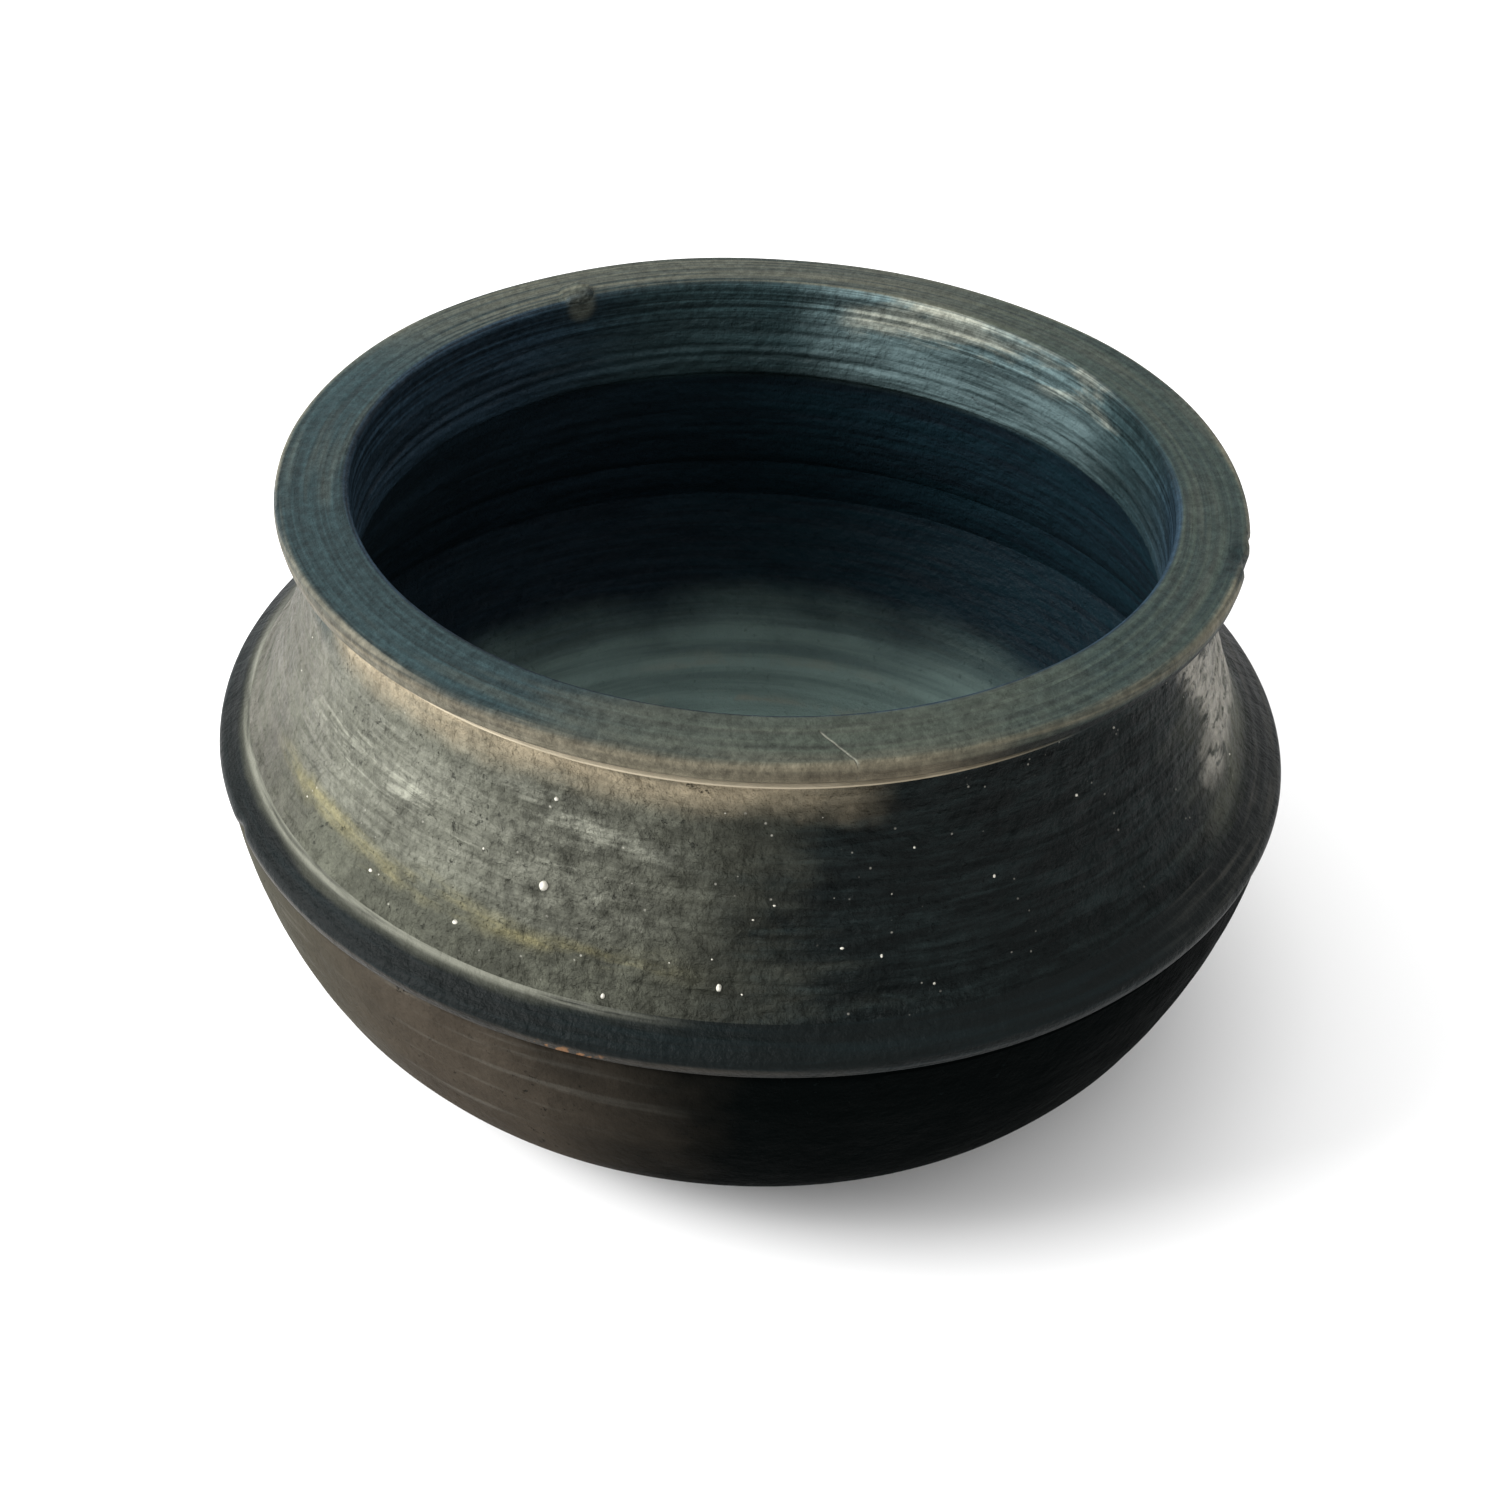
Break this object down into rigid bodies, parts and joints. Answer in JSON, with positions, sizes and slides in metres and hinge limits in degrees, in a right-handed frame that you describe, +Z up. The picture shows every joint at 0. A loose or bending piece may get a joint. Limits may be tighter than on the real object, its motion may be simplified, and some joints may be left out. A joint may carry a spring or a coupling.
{
  "type": "clay cooking pot",
  "caption": "Round dark clay cooking pot with a wide flat rim, short neck, hollow shoulder, raised keel and deep bowl on a small flat base.",
  "frame": {"origin": "centre of the pot's base, on the surface it rests on", "axes": "+Z up along the axis the pot is turned about; the pot is round, so +X and +Y are only told apart by the clay lump on the rim, towards -X and +Y"},
  "size_m": [0.23, 0.23, 0.1229],
  "materials": {
    "bowl_clay": "smooth burnished smoke-fired clay, warm brown grey to black",
    "inner_clay": "dark blue black clay with wiping marks",
    "keel_clay": "near black satin clay",
    "shoulder_clay": "olive to blue grey smoke-fired clay, brushed and pitted, satin",
    "worn_clay": "rubbed pale tan clay edge",
    "rim_clay": "blue green grey smoke-fired clay with turning grooves, satin",
    "quartz": "dull white quartz grain"
  },
  "bodies": {
    "root": {"base_disc": "bowl_clay", "lower_bowl": "bowl_clay", "base_lute_coil": "inner_clay", "keel_band": "keel_clay", "keel_lute_coil": "inner_clay", "shoulder_wall": "shoulder_clay", "neck_collar": "shoulder_clay", "neck_bead": "worn_clay", "rim_flange": "rim_clay", "temper_grits": "quartz", "rim_pellet": "rim_clay"}
  },
  "joints": []
}
